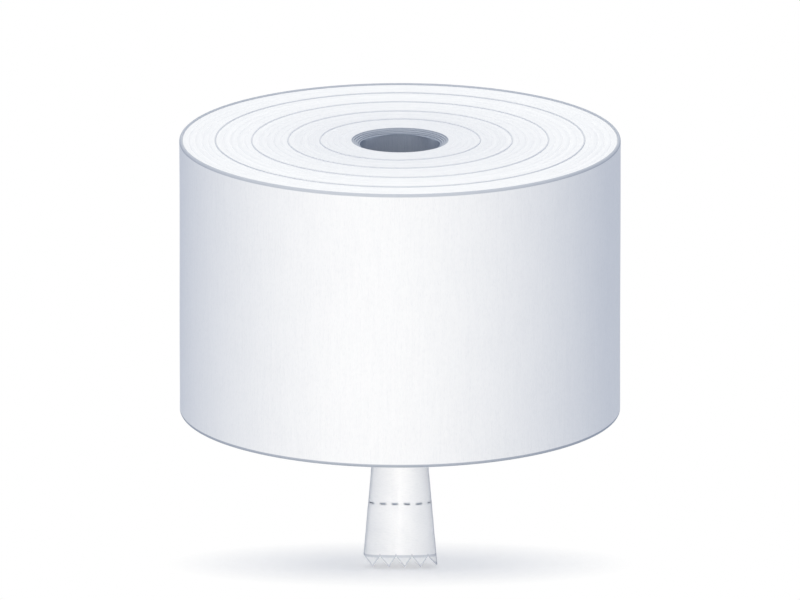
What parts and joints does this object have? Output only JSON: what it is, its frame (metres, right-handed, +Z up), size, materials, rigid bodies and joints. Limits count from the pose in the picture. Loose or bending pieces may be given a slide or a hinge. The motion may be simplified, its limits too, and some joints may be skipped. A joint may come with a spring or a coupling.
{
  "type": "centre-feed toilet paper roll",
  "caption": "Coreless roll of white toilet paper for a centre-feed holder: its inner end gathers in the bore and hangs out below, perforated and torn off in teeth.",
  "frame": {"origin": "centre of the underside of the wound turns", "axes": "+Z up along the roll's axis, -Y towards the front of the hanging end"},
  "size_m": [0.211, 0.211, 0.2113],
  "materials": {
    "paper": "soft creped tissue, matt white"
  },
  "bodies": {
    "root": {"paper_roll": "paper"}
  },
  "joints": []
}
